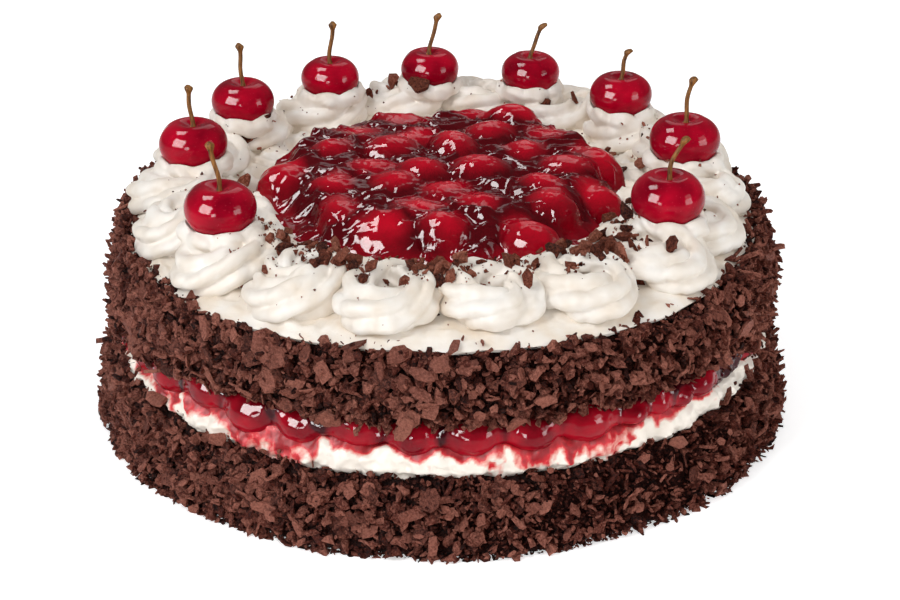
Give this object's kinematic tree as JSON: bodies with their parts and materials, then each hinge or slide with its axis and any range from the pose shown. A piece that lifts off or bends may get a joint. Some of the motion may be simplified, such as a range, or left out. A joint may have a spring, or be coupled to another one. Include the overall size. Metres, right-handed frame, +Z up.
{
  "type": "black forest cake",
  "caption": "Round two-layer black forest cake with a cream and cherry filling, a coat of shaved chocolate, piped cream rosettes, a glazed cherry mound and whole cherries on their stems.",
  "frame": {"origin": "centre of the round base, on the surface the cake stands on", "axes": "+Z up; -Y towards the side of the rosette ring that carries no whole cherries; +X to the right seen from that side"},
  "size_m": [0.25, 0.2501, 0.1169],
  "materials": {
    "coat": "matte",
    "cream": "matte",
    "glaze": "gloss",
    "cherry_skin": "gloss",
    "stem": "matte"
  },
  "bodies": {
    "root": {"lower_sponge": "coat", "cream_filling": "cream", "cherry_filling": "glaze", "upper_sponge": "coat", "top_cream": "cream", "cherry_mound": "glaze", "rosette_01": "cream", "rosette_02": "cream", "rosette_03": "cream", "rosette_04": "cream", "rosette_05": "cream", "rosette_06": "cream", "rosette_07": "cream", "rosette_08": "cream", "rosette_09": "cream", "rosette_10": "cream", "rosette_11": "cream", "rosette_12": "cream", "rosette_13": "cream", "rosette_14": "cream", "rosette_15": "cream", "rosette_16": "cream", "rosette_17": "cream", "rosette_18": "cream", "cherry_1": "cherry_skin", "cherry_2": "cherry_skin", "cherry_3": "cherry_skin", "cherry_4": "cherry_skin", "cherry_5": "cherry_skin", "cherry_6": "cherry_skin", "cherry_7": "cherry_skin", "cherry_8": "cherry_skin", "cherry_9": "cherry_skin", "stem_1": "stem", "stem_2": "stem", "stem_3": "stem", "stem_4": "stem", "stem_5": "stem", "stem_6": "stem", "stem_7": "stem", "stem_8": "stem", "stem_9": "stem"}
  },
  "joints": []
}
